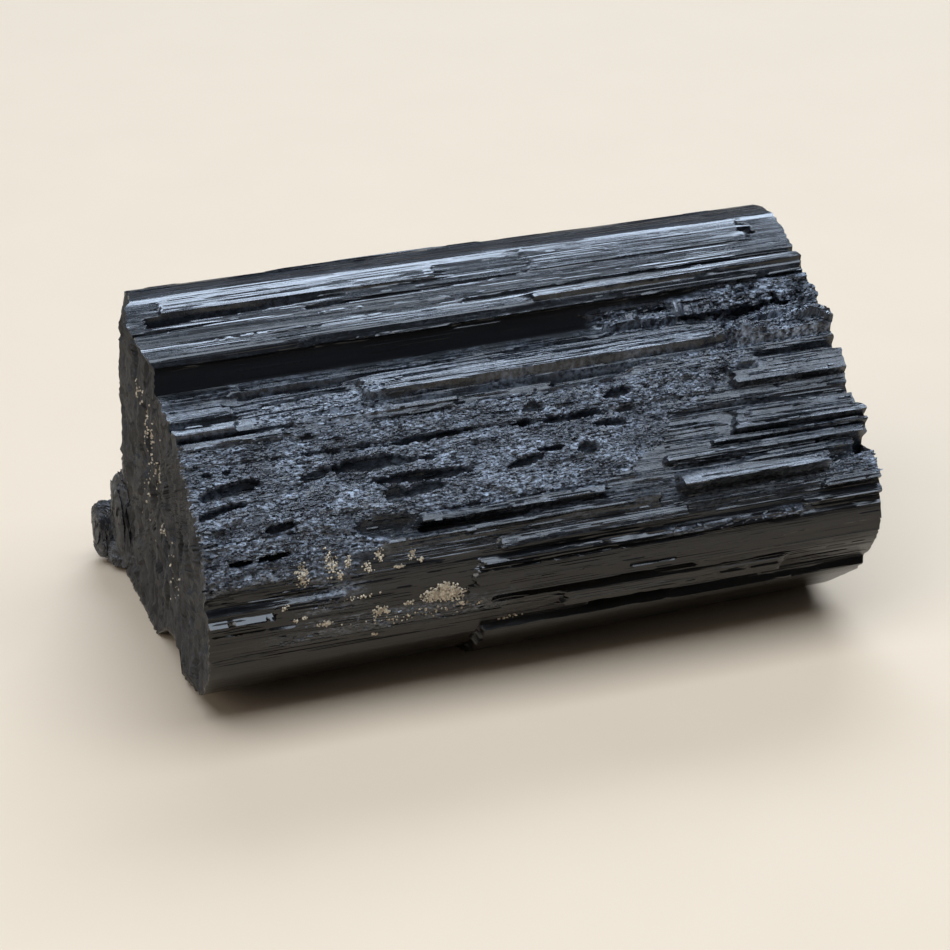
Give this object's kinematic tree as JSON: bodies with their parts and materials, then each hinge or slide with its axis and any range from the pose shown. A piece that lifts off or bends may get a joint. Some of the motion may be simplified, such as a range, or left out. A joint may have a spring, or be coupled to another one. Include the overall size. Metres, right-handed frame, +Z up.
{
  "type": "black tourmaline crystal",
  "caption": "Thick striated black tourmaline prism with a rounded three-sided section, stepped laths, etch pits and two broken ends, lying on a flat face.",
  "frame": {"origin": "centre of the bounding box in plan, at the level of the flat face that the crystal lies on", "axes": "+X along the prism towards its stepped right end, +Y towards the plain back, +Z up"},
  "size_m": [0.0734, 0.0456, 0.0366],
  "materials": {
    "schorl": "glossy black laths with a dull etched zone and matt broken ends"
  },
  "bodies": {
    "root": {"tourmaline_crystal": "schorl"}
  },
  "joints": []
}
